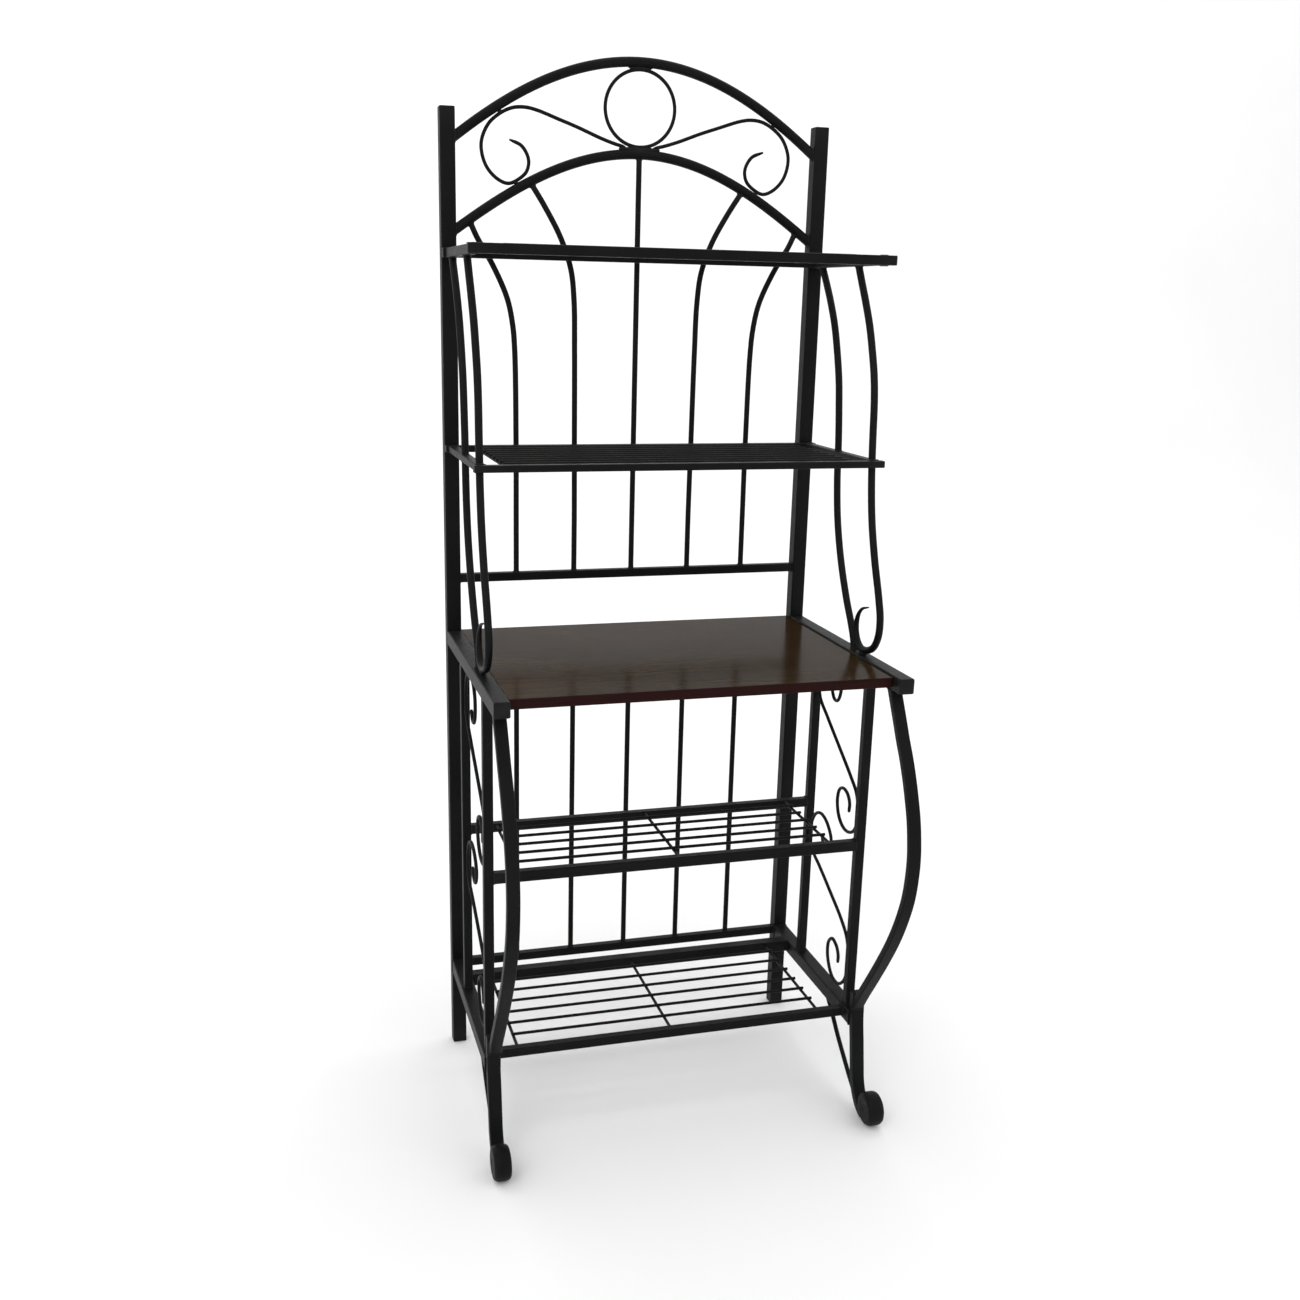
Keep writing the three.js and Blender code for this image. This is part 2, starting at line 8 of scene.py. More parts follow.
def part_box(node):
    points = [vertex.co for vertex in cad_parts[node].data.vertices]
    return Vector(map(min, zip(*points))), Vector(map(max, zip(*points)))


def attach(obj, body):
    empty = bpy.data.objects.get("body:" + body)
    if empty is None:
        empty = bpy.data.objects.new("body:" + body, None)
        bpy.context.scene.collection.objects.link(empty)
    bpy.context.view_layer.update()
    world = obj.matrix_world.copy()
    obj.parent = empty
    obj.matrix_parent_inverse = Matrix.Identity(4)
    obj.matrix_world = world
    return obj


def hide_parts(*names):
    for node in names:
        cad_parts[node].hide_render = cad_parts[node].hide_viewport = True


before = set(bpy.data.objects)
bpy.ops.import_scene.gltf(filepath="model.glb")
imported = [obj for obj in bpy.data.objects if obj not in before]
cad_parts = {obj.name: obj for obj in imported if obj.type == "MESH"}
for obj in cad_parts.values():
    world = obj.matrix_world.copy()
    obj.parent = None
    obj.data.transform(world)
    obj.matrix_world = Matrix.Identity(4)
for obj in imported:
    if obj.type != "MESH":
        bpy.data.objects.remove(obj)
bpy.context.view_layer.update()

# ---------------------------------------------------------------------------
# Dimensions of the rack in millimetres. Y is measured from the centre of the
# back posts, so YC carries it into the frame.
# ---------------------------------------------------------------------------
MM = 0.001
_lo, _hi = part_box("back_post_right")
YC = 0.5 * (_lo.y + _hi.y)

HALF, POST, POST_TOP, GLIDE, CAP, FIT = 322.0, 25.0, 1661.0, 6.0, 3.0, 0.3
RAIL, BAR, ARCH_D, RING_R, RING_D, ROD_D = 15.0, 16.0, 16.0, 62.8, 6.0, 9.5
SCROLL_D, SIDE_ROD_D, BOW_W, BOW, LEG, LEG_W = 6.0, 12.0, 20.0, 13.0, 15.0, 22.0
ROLL_R, ROLL_X, BOW_X, WIRE_D, CROSS_D = 29.0, 324.0, 320.0, 5.3, 5.3
Z_UPPER_RAIL, Z_LOWER_RAIL, Z_TOP_SHELF, Z_MID_SHELF = 896.0, 160.6, 1437.0, 1121.4
Z_COUNTER, BOARD_T, BOARD_TOP, Z_WIRE_SHELF, Z_BOTTOM = 792.0, 16.0, 802.0, 475.0, 161.0
Y_REAR_UP, Y_FRONT_UP, Y_RAIL_END, Y_BOARD_FRONT, Y_BOTTOM_REAR = -121.3, -339.0, -471.0, -449.0, -71.0
h = POST / 2
XI = HALF - h - FIT
Y_BACK = -h - FIT
RB, RT = Z_COUNTER - h, Z_COUNTER + h


def upper_arch_z(x):
    return 1745.4 - 14.3076 * (x / 100) ** 2 + 0.0917 * (x / 100) ** 4


def lower_arch_z(x):
    return 1603.2 - 15.2944 * (x / 100) ** 2 + 0.1904 * (x / 100) ** 4


# ---------------------------------------------------------------------------
# Curves
# ---------------------------------------------------------------------------
def smooth_curve(points, step=3.0):
    """Centripetal curve through the points, sampled about every step mm."""
    p = [np.array(q, float) for q in points]
    p = [2 * p[0] - p[1]] + p + [2 * p[-1] - p[-2]]
    out = []
    for i in range(1, len(p) - 2):
        a, b, c, d = p[i - 1], p[i], p[i + 1], p[i + 2]
        t0 = max(np.dot(b - a, b - a) ** 0.25, 1e-4)
        t1 = max(np.dot(c - b, c - b) ** 0.25, 1e-4)
        t2 = max(np.dot(d - c, d - c) ** 0.25, 1e-4)
        m1 = ((b - a) / t0 - (c - a) / (t0 + t1) + (c - b) / t1) * t1
        m2 = ((c - b) / t1 - (d - b) / (t1 + t2) + (d - c) / t2) * t1
        n = max(2, int(np.linalg.norm(c - b) / step + 0.5))
        for k in range(n):
            t = k / n
            out.append(b + m1 * t + (-3 * b + 3 * c - 2 * m1 - m2) * t * t + (2 * b - 2 * c + m1 + m2) * t ** 3)
    out.append(p[-2])
    return np.array(out)


def in_yz(x, pts, step=3.0):
    c = smooth_curve(pts, step)
    return np.column_stack([np.full(len(c), x), c[:, 0], c[:, 1]])


def in_xz(pts, step=3.0, y=0.0):
    c = smooth_curve(pts, step)
    return np.column_stack([c[:, 0], np.full(len(c), y), c[:, 1]])


def tangents(path, closed=False):
    if closed:
        t = np.roll(path, -1, 0) - np.roll(path, 1, 0)
    else:
        t = np.gradient(path, axis=0)
    return t / np.linalg.norm(t, axis=1, keepdims=True)


# ---------------------------------------------------------------------------
# Sections, as points (across, along the bend) in millimetres
# ---------------------------------------------------------------------------
def circle(d, n=20):
    a = 2 * np.pi * (np.arange(n) + 0.5) / n
    return np.column_stack([np.cos(a), np.sin(a)]) * d / 2


def rounded(w, t, r, n=4):
    """Rounded rectangle, counter-clockwise."""
    out = []
    for cx, cy, a0 in ((w / 2 - r, t / 2 - r, 0), (-w / 2 + r, t / 2 - r, 90), (-w / 2 + r, -t / 2 + r, 180), (w / 2 - r, -t / 2 + r, 270)):
        for k in range(n + 1):
            a = math.radians(a0 + 90 * k / n)
            out.append((cx + r * math.cos(a), cy + r * math.sin(a)))
    return np.array(out)


# ---------------------------------------------------------------------------
# Mesh building
# ---------------------------------------------------------------------------
class Shape:
    """Collects rings of points and turns them into one mesh object."""

    def __init__(self):
        self.v, self.f, self.m = [], [], []
        self.n = 0

    def add(self, verts, faces, mat=0):
        verts = np.asarray(verts, float)
        self.v.append(verts)
        self.f.extend([tuple(int(i) + self.n for i in f) for f in faces])
        self.m.extend([mat] * len(faces))
        self.n += len(verts)

    def rings(self, rings, closed=False, caps=True, mat=0):
        rings = [np.asarray(r, float) for r in rings]
        n = len(rings[0])
        faces = []
        total = len(rings)
        for i in range(total if closed else total - 1):
            a, b = i * n, ((i + 1) % total) * n
            for j in range(n):
                k = (j + 1) % n
                faces.append((a + j, a + k, b + k, b + j))
        if caps and not closed:
            faces.append(tuple(range(n))[::-1])
            faces.append(tuple((total - 1) * n + j for j in range(n)))
        self.add(np.concatenate(rings), faces, mat)

    def tube(self, path, section, normal, ends=("flat", "flat"), closed=False, trim=(None, None), scale=None, mat=0):
        """Section swept along a planar path. trim is a function that moves the
        last ring's points along the tangent. Returns both end rings."""
        path = np.asarray(path, float)
        t = tangents(path, closed)
        nrm = np.asarray(normal, float)
        rings = []
        for i, (c, d) in enumerate(zip(path, t)):
            b = np.cross(nrm, d)
            b /= np.linalg.norm(b)
            k = 1.0 if scale is None else scale[i]
            rings.append(c + k * (section[:, :1] * nrm + section[:, 1:] * b))
        if not closed:
            for e, fn in ((0, trim[0]), (-1, trim[1])):
                if fn is not None:
                    rings[e] = fn(rings[e], t[e])
        first, last = rings[0].copy(), rings[-1].copy()
        if not closed:
            if ends[0] != "flat":
                rings = self._tip(rings[0], path[0], -t[0], ends[0])[::-1] + rings
            if ends[1] != "flat":
                rings = rings + self._tip(rings[-1], path[-1], t[-1], ends[1])
        # side faces need a consistent outward winding
        flip = np.dot(np.cross(section[1] - np.array([0, 0]), section[2]), 1.0)
        self.rings(rings, closed=closed, caps=not closed, mat=mat)
        return first, last

    @staticmethod
    def _tip(ring, centre, direction, kind):
        """Rings that round an end off: kind is the length of the rounding in mm."""
        out = []
        c = ring.mean(0)
        k = 5
        for i in range(1, k + 1):
            a = math.pi / 2 * i / k
            out.append(c + (ring - c) * max(math.cos(a), 0.06) + direction * kind * math.sin(a))
        return out

    def lathe(self, centre, axis, u, profile, n=32, mat=0):
        """profile: (radius, distance along axis) from one pole to the other."""
        axis, u = np.array(axis, float), np.array(u, float)
        w = np.cross(axis, u)
        rings = []
        for r, d in profile:
            a = 2 * np.pi * np.arange(n) / n
            rings.append(np.array(centre) + axis * d + r * (np.cos(a)[:, None] * u + np.sin(a)[:, None] * w))
        self.rings(rings, mat=mat)

    def bead(self, loop, r=1.1, seed=0, n=6, closed=True):
        """Weld bead: a lumpy round strip that follows a loop of points."""
        loop = np.asarray(loop, float)
        if closed:
            keep = [0]
            for i in range(1, len(loop)):
                if np.linalg.norm(loop[i] - loop[keep[-1]]) > 0.35:
                    keep.append(i)
            loop = loop[keep]
        t = tangents(loop, closed)
        c = loop.mean(0)
        s = np.cumsum(np.r_[0, np.linalg.norm(np.diff(loop, axis=0), axis=1)])
        rings = []
        for i, (p, d) in enumerate(zip(loop, t)):
            o = p - c
            o -= d * np.dot(o, d)
            o /= max(np.linalg.norm(o), 1e-6)
            b = np.cross(d, o)
            k = r * (1 + 0.22 * math.sin(s[i] * 2.1 + seed * 1.7) + 0.12 * math.sin(s[i] * 0.9 + seed * 3.1))
            a = 2 * np.pi * np.arange(n) / n
            rings.append(p + k * (np.cos(a)[:, None] * o + np.sin(a)[:, None] * b))
        self.rings(rings, closed=closed)

    def lump(self, centre, radii, seed=0, n=10, m=6):
        """Small welded lump, a slightly uneven ellipsoid."""
        c = np.array(centre, float)
        rings = []
        for i in range(1, m):
            th = math.pi * i / m
            ring = []
            for j in range(n):
                ph = 2 * math.pi * j / n
                k = 1 + 0.09 * math.sin(3 * ph + seed) * math.sin(2 * th + seed * 0.7)
                ring.append(c + k * np.array([radii[0] * math.sin(th) * math.cos(ph), radii[1] * math.sin(th) * math.sin(ph), radii[2] * math.cos(th)]))
            rings.append(ring)
        self.rings(rings)

    def build(self, name, materials, replaces=(), slot="black_metal", smooth_angle=38, mirror=False):
        v = np.concatenate(self.v).copy()
        if mirror:
            v[:, 0] *= -1
        v[:, 1] += YC / MM
        mesh = bpy.data.meshes.new(name)
        mesh.from_pydata([tuple(p * MM) for p in v], [], self.f)
        mesh.validate()
        mesh.update()
        import bmesh
        bm = bmesh.new()
        bm.from_mesh(mesh)
        bmesh.ops.recalc_face_normals(bm, faces=bm.faces)
        bm.to_mesh(mesh)
        bm.free()
        for m in materials:
            mesh.materials.append(m)
        if len(materials) > 1 and len(self.m) == len(mesh.polygons):
            mesh.polygons.foreach_set("material_index", self.m)
        mesh.polygons.foreach_set("use_smooth", [True] * len(mesh.polygons))
        mesh.set_sharp_from_angle(angle=math.radians(smooth_angle))
        obj = bpy.data.objects.new(name, mesh)
        bpy.context.scene.collection.objects.link(obj)
        w = obj.modifiers.new("weighted", "WEIGHTED_NORMAL")
        w.keep_sharp = True
        w.weight = 60
        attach(obj, "root")
        if replaces:
            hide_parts(*replaces)
        return obj


def to_plane(axis, value):
    """Slides a ring's points along the tangent onto a plane."""
    def fn(ring, t):
        k = (value - ring[:, axis]) / t[axis]
        return ring + k[:, None] * t
    return fn


def onto_arch(arch, radius, side):
    """Slides a ring's points along the tangent onto the arch's round surface."""
    def dist(q):
        x = q[0]
        e = 0.5
        slope = (arch(x + e) - arch(x - e)) / (2 * e)
        dz = (q[2] - arch(x)) / math.sqrt(1 + slope * slope)
        return math.hypot(dz, q[1]) - radius
    def fn(ring, t):
        out = []
        for q in ring:
            q = q.copy()
            for _ in range(12):
                d = dist(q)
                g = (dist(q + 0.05 * t) - d) / 0.05
                if abs(g) < 0.15:
                    break
                q = q - t * max(-3, min(3, d / g))
            out.append(q)
        return np.array(out)
    return fn


def straight(a, b, step=25.0):
    a, b = np.array(a, float), np.array(b, float)
    n = max(2, int(np.linalg.norm(b - a) / step) + 1)
    return np.array([a + (b - a) * i / (n - 1) for i in range(n)])


# ---------------------------------------------------------------------------
# Materials
# ---------------------------------------------------------------------------
class Nodes:
    def __init__(self, name):
        self.mat = bpy.data.materials.new(name)
        self.mat.use_nodes = True
        self.t = self.mat.node_tree
        self.t.nodes.clear()
        self.out = self.t.nodes.new("ShaderNodeOutputMaterial")
        self.p = self.t.nodes.new("ShaderNodeBsdfPrincipled")
        self.link(self.p.outputs[0], self.out.inputs[0])

    def link(self, a, b):
        self.t.links.new(a, b)

    def node(self, kind, **props):
        n = self.t.nodes.new("ShaderNode" + kind)
        for k, v in props.items():
            setattr(n, k, v)
        return n

    def coords(self, scale=(1, 1, 1)):
        c = self.node("TexCoord")
        m = self.node("Mapping")
        m.inputs["Scale"].default_value = scale
        self.link(c.outputs["Object"], m.inputs["Vector"])
        return m.outputs[0]

    def noise(self, vec, scale, detail=4.0, rough=0.55, distortion=0.0):
        n = self.node("TexNoise")
        n.inputs["Scale"].default_value = scale
        n.inputs["Detail"].default_value = detail
        n.inputs["Roughness"].default_value = rough
        n.inputs["Distortion"].default_value = distortion
        self.link(vec, n.inputs["Vector"])
        return n.outputs["Fac"]

    def ramp(self, fac, stops):
        r = self.node("ValToRGB")
        e = r.color_ramp.elements
        e[0].position, e[0].color = stops[0][0], (*stops[0][1], 1)
        e[1].position, e[1].color = stops[-1][0], (*stops[-1][1], 1)
        for pos, col in stops[1:-1]:
            x = e.new(pos)
            x.color = (*col, 1)
        self.link(fac, r.inputs[0])
        return r.outputs[0]

    def remap(self, fac, a, b, lo=0.3, hi=0.7):
        m = self.node("MapRange")
        m.inputs["From Min"].default_value = lo
        m.inputs["From Max"].default_value = hi
        m.inputs["To Min"].default_value = a
        m.inputs["To Max"].default_value = b
        self.link(fac, m.inputs["Value"])
        return m.outputs[0]

    def mix(self, fac, a, b, blend="MIX"):
        m = self.node("Mix", data_type="RGBA", blend_type=blend)
        if isinstance(fac, float):
            m.inputs[0].default_value = fac
        else:
            self.link(fac, m.inputs[0])
        for s, val in ((6, a), (7, b)):
            if isinstance(val, tuple):
                m.inputs[s].default_value = (*val, 1)
            else:
                self.link(val, m.inputs[s])
        return m.outputs[2]

    def bump(self, height, strength, distance, prev=None):
        b = self.node("Bump")
        b.inputs["Strength"].default_value = strength
        b.inputs["Distance"].default_value = distance
        self.link(height, b.inputs["Height"])
        if prev is not None:
            self.link(prev, b.inputs["Normal"])
        return b.outputs[0]

    def set(self, **kw):
        for k, v in kw.items():
            s = self.p.inputs[k.replace("_", " ")]
            if isinstance(v, (int, float, tuple)):
                s.default_value = v if not isinstance(v, tuple) else (*v, 1)
            else:
                self.link(v, s)


def powder_coat(name, lo, hi, rough=(0.40, 0.50), peel=0.10):
    """Satin black powder coat: faint mottling, orange peel and painted top light: faces that point up are mixed towards
    a lighter grey in noisy patches.
    """
    m = Nodes(name)
    v = m.coords()
    mottle = m.noise(v, 9.0, 5.0, 0.6)
    fine = m.noise(v, 320.0, 3.0, 0.5)
    base = m.ramp(mottle, [(0.30, lo), (0.52, tuple((a + b) / 2 for a, b in zip(lo, hi))), (0.72, hi)])
    speck = m.remap(m.noise(v, 900.0, 2.0, 0.5), 0.0, 0.35, 0.60, 0.74)
    base = m.mix(speck, base, tuple(c * 2.4 for c in hi))
    geo = m.node("NewGeometry")
    sep = m.node("SeparateXYZ")
    m.link(geo.outputs["Normal"], sep.inputs[0])
    # painted light: up-facing faces are mixed towards a lighter grey, as if lit from above; noise breaks it into
    # patches
    up = m.remap(sep.outputs["Z"], 0.0, 1.0, 0.75, 1.0)
    top_light_breakup = m.remap(m.noise(v, 55.0, 5.0, 0.65), 0.0, 0.30, 0.42, 0.75)
    top_light_mask = m.node("Math", operation="MULTIPLY")
    m.link(up, top_light_mask.inputs[0])
    m.link(top_light_breakup, top_light_mask.inputs[1])
    base = m.mix(top_light_mask.outputs[0], base, (0.020, 0.0195, 0.018))
    edge = m.remap(geo.outputs["Pointiness"], 0.0, 0.28, 0.515, 0.60)
    base = m.mix(edge, base, (0.030, 0.030, 0.029))
    m.set(Base_Color=base, Roughness=m.remap(fine, rough[0], rough[1]), Metallic=0.0)
    m.p.inputs["Specular IOR Level"].default_value = 0.075
    peel_h = m.noise(v, 620.0, 2.0, 0.45)
    n1 = m.bump(peel_h, peel, 0.00025)
    n2 = m.bump(m.noise(v, 60.0, 3.0, 0.5), 0.06, 0.0006, n1)
    m.link(n2, m.p.inputs["Normal"])
    return m.mat


def weld_coat(name):
    """Coated weld metal, rougher and a little darker than the bars."""
    m = Nodes(name)
    v = m.coords()
    base = m.ramp(m.noise(v, 160.0, 4.0, 0.6), [(0.3, (0.005, 0.005, 0.005)), (0.7, (0.012, 0.0115, 0.0115))])
    m.set(Base_Color=base, Roughness=m.remap(m.noise(v, 400.0, 3.0, 0.5), 0.42, 0.6), Metallic=0.0)
    m.p.inputs["Specular IOR Level"].default_value = 0.15
    m.link(m.bump(m.noise(v, 700.0, 3.0, 0.6), 0.35, 0.0005), m.p.inputs["Normal"])
    return m.mat


def board_face(name):
    """Espresso board: long fine grain along X under a semi-gloss lacquer."""
    m = Nodes(name)
    v = m.coords((1.0, 1.0, 1.0))
    stretched = m.coords((1.3, 26.0, 26.0))
    warp = m.noise(m.coords((2.0, 6.0, 6.0)), 1.6, 3.0, 0.5)
    comb = m.node("VectorMath", operation="ADD")
    sc = m.node("VectorMath", operation="SCALE")
    sc.inputs["Scale"].default_value = 1.1
    m.link(warp, sc.inputs[0])
    m.link(stretched, comb.inputs[0])
    m.link(sc.outputs[0], comb.inputs[1])
    grain = m.noise(comb.outputs[0], 2.2, 8.0, 0.62, 0.35)
    pores = m.noise(m.coords((9.0, 520.0, 520.0)), 1.0, 4.0, 0.6)
    col = m.ramp(grain, [(0.26, (0.0135, 0.0081, 0.0042)), (0.46, (0.0255, 0.0149, 0.0066)), (0.60, (0.0355, 0.0202, 0.0086)), (0.78, (0.0192, 0.0115, 0.0054))])
    col = m.mix(m.remap(pores, 0.0, 0.55, 0.52, 0.72), col, (0.0080, 0.0048, 0.0040))
    blot = m.remap(m.noise(v, 5.0, 3.0, 0.5), 0.75, 1.15)
    hsv = m.node("HueSaturation")
    m.link(col, hsv.inputs["Color"])
    m.link(blot, hsv.inputs["Value"])
    m.set(Base_Color=hsv.outputs[0], Roughness=m.remap(m.noise(v, 38.0, 4.0, 0.6), 0.15, 0.19), Metallic=0.0)
    m.p.inputs["Specular IOR Level"].default_value = 0.0090
    n1 = m.bump(pores, 0.018, 0.0002)
    n2 = m.bump(m.noise(v, 420.0, 2.0, 0.5), 0.008, 0.0002, n1)
    m.link(n2, m.p.inputs["Normal"])
    return m.mat


def board_edge(name):
    """Foil edge band of the board, a redder and plainer brown."""
    m = Nodes(name)
    v = m.coords((3.0, 40.0, 90.0))
    col = m.ramp(m.noise(v, 2.0, 6.0, 0.6), [(0.3, (0.0120, 0.0030, 0.0027)), (0.55, (0.0185, 0.0046, 0.0040)), (0.75, (0.0145, 0.0036, 0.0032))])
    m.set(Base_Color=col, Roughness=m.remap(m.noise(m.coords(), 120.0, 3.0, 0.5), 0.34, 0.46), Metallic=0.0)
    m.p.inputs["Specular IOR Level"].default_value = 0.06
    m.link(m.bump(m.noise(v, 6.0, 3.0, 0.5), 0.05, 0.0002), m.p.inputs["Normal"])
    return m.mat


def plastic(name):
    """Moulded black plastic with a fine spark-eroded texture."""
    m = Nodes(name)
    v = m.coords()
    base = m.ramp(m.noise(v, 30.0, 4.0, 0.6), [(0.3, (0.0065, 0.0065, 0.0068)), (0.7, (0.012, 0.012, 0.0125))])
    m.set(Base_Color=base, Roughness=m.remap(m.noise(v, 500.0, 2.0, 0.5), 0.48, 0.64), Metallic=0.0)
    m.p.inputs["Specular IOR Level"].default_value = 0.10
    m.link(m.bump(m.noise(v, 1400.0, 2.0, 0.5), 0.30, 0.0002), m.p.inputs["Normal"])
    return m.mat


def bolt_metal(name):
    m = Nodes(name)
    v = m.coords()
    base = m.ramp(m.noise(v, 240.0, 4.0, 0.6), [(0.3, (0.012, 0.012, 0.013)), (0.7, (0.034, 0.034, 0.036))])
    m.set(Base_Color=base, Roughness=m.remap(m.noise(v, 700.0, 2.0, 0.5), 0.26, 0.40), Metallic=0.35)
    m.link(m.bump(m.noise(v, 900.0, 2.0, 0.5), 0.12, 0.0002), m.p.inputs["Normal"])
    return m.mat


def floor_paper(name):
    m = Nodes(name)
    v = m.coords()
    base = m.ramp(m.noise(v, 1.2, 3.0, 0.5), [(0.3, (0.93, 0.93, 0.93)), (0.7, (0.955, 0.955, 0.955))])
    m.set(Base_Color=base, Roughness=m.remap(m.noise(v, 40.0, 2.0, 0.5), 0.85, 0.95), Metallic=0.0)
    m.p.inputs["Specular IOR Level"].default_value = 0.15
    return m.mat


COAT = powder_coat("powder_coat_black", (0.0037, 0.0038, 0.0040), (0.0070, 0.0070, 0.0072))
WELD = weld_coat("weld_coat_black")
FACE = board_face("board_espresso")
EDGE = board_edge("board_edge_band")
PLASTIC = plastic("plastic_black")
BOLT = bolt_metal("bolt_black")
PAPER = floor_paper("studio_paper")

NX, NY, NZ = (1.0, 0.0, 0.0), (0.0, 1.0, 0.0), (0.0, 0.0, 1.0)
SIDES = (("right", False), ("left", True))
welds = Shape()          # welds of the middle part of the rack
side_welds = Shape()     # welds of one side frame, mirrored for the other


def pair(name, shape, material, slot="black_metal", **kw):
    for side, mirrored in SIDES:
        node = f"{name}_{side}"
        shape.build(f"vis_{node}", material, replaces=(node,), slot=slot, mirror=mirrored, **kw)


# ---------------------------------------------------------------------------
# Posts, caps, glides
# ---------------------------------------------------------------------------
s = Shape()
s.tube(straight((HALF, 0, GLIDE + FIT), (HALF, 0, POST_TOP - CAP - FIT)), rounded(POST, POST, 2.4), NX)
pair("back_post", s, [COAT])


def plug(axis_rings, mat=0):
    """Moulded plug: rings of (size, offset) around a rounded square."""
    out = []
    for size, off in axis_rings:
        out.append((rounded(size, size, min(2.6, size * 0.11)), off))
    return out


s = Shape()
rr = plug([(24.6, 0.0), (25.0, 0.35), (25.0, 1.6), (24.4, 2.5), (23.0, 2.95), (20.5, 3.0)])
s.rings([np.column_stack([HALF + r[:, 0], r[:, 1], np.full(len(r), POST_TOP - CAP + o)]) for r, o in rr])
pair("post_cap", s, [PLASTIC], "black_plastic")

s = Shape()
rr = plug([(22.4, 0.0), (24.0, 0.35), (25.0, 1.4), (25.0, 5.2), (24.5, 6.0)])
s.rings([np.column_stack([HALF + r[:, 0], r[:, 1], np.full(len(r), o)]) for r, o in rr])
pair("post_glide", s, [PLASTIC], "black_plastic")

s = Shape()
rr = plug([(24.6, 0.0), (25.0, -0.35), (25.0, -1.6), (24.4, -2.5), (23.0, -2.95), (20.5, -3.0)])
s.rings([np.column_stack([HALF + r[:, 0], np.full(len(r), Y_RAIL_END + CAP + o), Z_COUNTER + r[:, 1]]) for r, o in rr])
pair("counter_rail_cap", s, [PLASTIC], "black_plastic")

# ---------------------------------------------------------------------------
# Arches, ring and arch scrolls
# ---------------------------------------------------------------------------
for name, fz, seed in (("upper_arch", upper_arch_z, 1), ("lower_arch", lower_arch_z, 4)):
    xs = np.arange(-(XI - 9.0), XI - 8.99, (2 * XI - 18.0) / 96)
    path = np.column_stack([xs, np.zeros(len(xs)), fz(xs)])
    s = Shape()
    a, b = s.tube(path, circle(ARCH_D, 28), NY, trim=(to_plane(0, -XI), to_plane(0, XI)))
    s.build(f"vis_{name}", [COAT], replaces=(name,))
    welds.bead(a, 1.5, seed)
    welds.bead(b, 1.5, seed + 1)

ring_z = (upper_arch_z(0) + lower_arch_z(0)) / 2
s = Shape()
a = 2 * np.pi * np.arange(96) / 96
rc = RING_R - RING_D / 2
s.tube(np.column_stack([rc * np.cos(a), np.zeros(96), ring_z + rc * np.sin(a)]), circle(RING_D, 16), NY, closed=True)
s.build("vis_arch_ring", [COAT], replaces=("arch_ring",))
welds.lump((0, 0, ring_z + RING_R - 0.8), (21.0, 3.4, 3.2), 1)
welds.lump((0, 0, ring_z - RING_R - 1.0), (31.0, 3.6, 5.4), 2)


def tapered(path, d, head, tail, tip=0.35):
    """Scale factors that taper the rod's two ends over head and tail mm."""
    s_ = np.r_[0, np.cumsum(np.linalg.norm(np.diff(path, axis=0), axis=1))]
    k = np.ones(len(path))
    if head:
        k = np.minimum(k, tip + (1 - tip) * np.clip(s_ / head, 0, 1) ** 0.7)
    if tail:
        k = np.minimum(k, tip + (1 - tip) * np.clip((s_[-1] - s_) / tail, 0, 1) ** 0.7)
    return k


SCROLL_PTS = [
    (24.5, 1613.4), (45, 1618.6), (68, 1626), (105, 1640), (136, 1650.5), (176, 1663.5), (195, 1666.5),
    (215, 1664.5), (236, 1654.5), (255, 1637), (266, 1608), (259, 1576), (241, 1556), (222, 1548.8),
    (204, 1556.4), (191, 1569), (188, 1587), (199, 1607), (219, 1616)]
path = in_xz(SCROLL_PTS, 2.5)
s = Shape()
s.tube(path, circle(SCROLL_D, 16), NY, ends=(1.2, 1.2), scale=tapered(path, SCROLL_D, 6, 12, 0.55))
pair("arch_scroll", s, [COAT])
arch_welds = Shape()
arch_welds.lump((29, 0, 1610.8), (7.0, 3.1, 3.0), 3)
low = path[np.argmin([math.hypot(0, q[2] - lower_arch_z(q[0])) if 195 < q[0] < 262 and q[2] < 1575 else 1e9 for q in path])]
arch_welds.lump((low[0] + 0.8, 0, (low[2] - 2.5 + lower_arch_z(low[0]) + 8) / 2), (6.0, 3.0, 2.4), 5)
far = path[np.argmin([abs(upper_arch_z(q[0]) - 8 / math.cos(0.7) - q[2]) if q[2] > 1600 and q[0] > 200 else 1e9 for q in path])]
arch_welds.lump((far[0] + 1.6, 0, far[2] + 2.2), (4.2, 2.8, 3.6), 6)

# ---------------------------------------------------------------------------
# Back rails and rods
# ---------------------------------------------------------------------------
REAR_TOP = BOARD_TOP - BOARD_T - FIT
for name, z in (("upper_back_rail", Z_UPPER_RAIL), ("counter_rear_rail", REAR_TOP - RAIL / 2), ("lower_back_rail", Z_LOWER_RAIL)):
    s = Shape()
    e0, e1 = s.tube(straight((-XI, 0, z), (XI, 0, z)), rounded(RAIL, RAIL, 1.9), NY)
    s.build(f"vis_{name}", [COAT], replaces=(name,))
    welds.bead(e0, 1.2, z)
    welds.bead(e1, 1.2, z + 1)

zr0 = Z_UPPER_RAIL + RAIL / 2 + FIT
OUTER = [(209.5, zr0), (209.5, 1000), (209.5, 1130), (211.5, 1282), (215, 1325), (224, 1367), (246.5, 1417), (275.5, 1466), (286.5, lower_arch_z(286.5))]
MIDDLE = [(105.5, zr0), (105.5, 1000), (106.5, 1130), (107.7, 1282), (109.5, 1367), (115.5, 1417), (133, 1466), (160.5, 1515), (185.5, lower_arch_z(185.5))]


def back_rod(pts):
    c = in_xz(pts, 5.0)
    keep = [q for q in c if abs(q[2] - lower_arch_z(q[0])) > 13 or q[2] < 1300]
    return np.array(keep)


